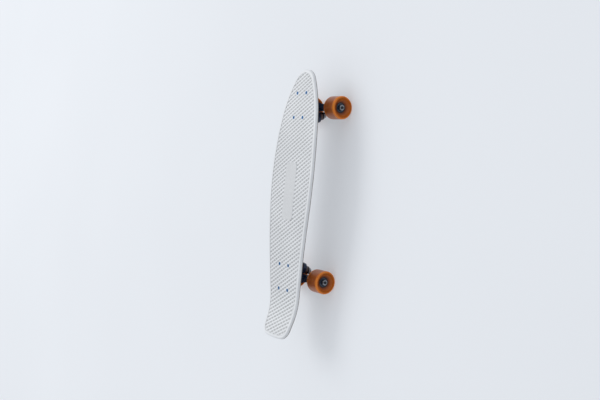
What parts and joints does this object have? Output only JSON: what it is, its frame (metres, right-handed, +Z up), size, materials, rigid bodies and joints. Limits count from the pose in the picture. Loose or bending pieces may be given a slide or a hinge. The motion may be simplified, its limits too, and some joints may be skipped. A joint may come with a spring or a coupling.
{
  "type": "cruiser skateboard",
  "caption": "Small moulded-plastic cruiser skateboard with waffle top and kick tail, blue bolts, navy steering trucks and soft amber wheels that roll on ball bearings.",
  "frame": {"origin": "on the ground, under the middle of the deck's length and width", "axes": "+X towards the nose, +Y to the rider's left, +Z up from the ground"},
  "size_m": [0.6903, 0.191, 0.1182],
  "materials": {
    "deck_plastic": "off-white moulded polypropylene, satin",
    "blue_bolt": "blue painted steel",
    "navy_truck": "cast aluminium, dark navy satin paint",
    "zinc_steel": "zinc-plated steel",
    "bearing_steel": "ground bearing steel",
    "dark_shield": "dark blue-black rubber shield",
    "cage_plastic": "nylon",
    "amber_urethane": "cast amber urethane, slightly translucent",
    "amber_bushing": "cast amber urethane",
    "black_urethane": "black urethane"
  },
  "bodies": {
    "deck": {"deck": "deck_plastic", "deck_bolts": "blue_bolt", "deck_nuts": "zinc_steel", "front_base_plate": "navy_truck", "front_pivot_cup": "black_urethane", "front_kingpin": "zinc_steel", "front_kingpin_nut": "zinc_steel", "front_board_bushing": "amber_bushing", "front_road_bushing": "amber_bushing", "front_board_washer": "zinc_steel", "front_road_washer": "zinc_steel", "rear_base_plate": "navy_truck", "rear_pivot_cup": "black_urethane", "rear_kingpin": "zinc_steel", "rear_kingpin_nut": "zinc_steel", "rear_board_bushing": "amber_bushing", "rear_road_bushing": "amber_bushing", "rear_board_washer": "zinc_steel", "rear_road_washer": "zinc_steel"},
    "front_hanger": {"front_hanger": "navy_truck", "front_axle": "zinc_steel", "front_axle_nuts": "zinc_steel", "front_speed_washers": "zinc_steel", "front_bearing_inner_rings": "bearing_steel", "front_bearing_spacers": "bearing_steel"},
    "front_left_wheel": {"front_left_wheel": "amber_urethane", "front_left_bearing_outer_rings": "bearing_steel", "front_left_bearing_shields": "dark_shield"},
    "front_left_balls": {"front_left_bearing_balls": "bearing_steel", "front_left_bearing_cages": "cage_plastic"},
    "front_right_wheel": {"front_right_wheel": "amber_urethane", "front_right_bearing_outer_rings": "bearing_steel", "front_right_bearing_shields": "dark_shield"},
    "front_right_balls": {"front_right_bearing_balls": "bearing_steel", "front_right_bearing_cages": "cage_plastic"},
    "rear_hanger": {"rear_hanger": "navy_truck", "rear_axle": "zinc_steel", "rear_axle_nuts": "zinc_steel", "rear_speed_washers": "zinc_steel", "rear_bearing_inner_rings": "bearing_steel", "rear_bearing_spacers": "bearing_steel"},
    "rear_left_wheel": {"rear_left_wheel": "amber_urethane", "rear_left_bearing_outer_rings": "bearing_steel", "rear_left_bearing_shields": "dark_shield"},
    "rear_left_balls": {"rear_left_bearing_balls": "bearing_steel", "rear_left_bearing_cages": "cage_plastic"},
    "rear_right_wheel": {"rear_right_wheel": "amber_urethane", "rear_right_bearing_outer_rings": "bearing_steel", "rear_right_bearing_shields": "dark_shield"},
    "rear_right_balls": {"rear_right_bearing_balls": "bearing_steel", "rear_right_bearing_cages": "cage_plastic"}
  },
  "joints": [
    {"name": "front_steer", "type": "hinge", "parent": "deck", "child": "front_hanger", "pos_m": [0.22809, 0, 0.04893], "axis": [0.914, 0, 0.4058], "range_deg": [-15, 15], "stiffness_Nm_per_rad": 18, "deforming": ["front_board_bushing", "front_road_bushing"]},
    {"name": "front_left_spin", "type": "hinge", "parent": "front_hanger", "child": "front_left_wheel", "pos_m": [0.25424, 0.0635, 0.0295], "axis": [0, 1, 0], "continuous": true},
    {"name": "front_left_ball_spin", "type": "hinge", "parent": "front_hanger", "child": "front_left_balls", "pos_m": [0.25424, 0.0635, 0.0295], "axis": [0, 1, 0], "continuous": true},
    {"name": "front_right_spin", "type": "hinge", "parent": "front_hanger", "child": "front_right_wheel", "pos_m": [0.25424, -0.0635, 0.0295], "axis": [0, 1, 0], "continuous": true},
    {"name": "front_right_ball_spin", "type": "hinge", "parent": "front_hanger", "child": "front_right_balls", "pos_m": [0.25424, -0.0635, 0.0295], "axis": [0, 1, 0], "continuous": true},
    {"name": "rear_steer", "type": "hinge", "parent": "deck", "child": "rear_hanger", "pos_m": [-0.1645, 0, 0.04893], "axis": [-0.914, 0, 0.4058], "range_deg": [-15, 15], "stiffness_Nm_per_rad": 18, "deforming": ["rear_board_bushing", "rear_road_bushing"]},
    {"name": "rear_left_spin", "type": "hinge", "parent": "rear_hanger", "child": "rear_left_wheel", "pos_m": [-0.19064, 0.0635, 0.0295], "axis": [0, 1, 0], "continuous": true},
    {"name": "rear_left_ball_spin", "type": "hinge", "parent": "rear_hanger", "child": "rear_left_balls", "pos_m": [-0.19064, 0.0635, 0.0295], "axis": [0, 1, 0], "continuous": true},
    {"name": "rear_right_spin", "type": "hinge", "parent": "rear_hanger", "child": "rear_right_wheel", "pos_m": [-0.19064, -0.0635, 0.0295], "axis": [0, 1, 0], "continuous": true},
    {"name": "rear_right_ball_spin", "type": "hinge", "parent": "rear_hanger", "child": "rear_right_balls", "pos_m": [-0.19064, -0.0635, 0.0295], "axis": [0, 1, 0], "continuous": true}
  ],
  "couplings": [
    {"joint": "front_left_ball_spin", "follows": "front_left_spin", "ratio": 0.6323},
    {"joint": "front_right_ball_spin", "follows": "front_right_spin", "ratio": 0.6323},
    {"joint": "rear_left_ball_spin", "follows": "rear_left_spin", "ratio": 0.6323},
    {"joint": "rear_right_ball_spin", "follows": "rear_right_spin", "ratio": 0.6323}
  ]
}
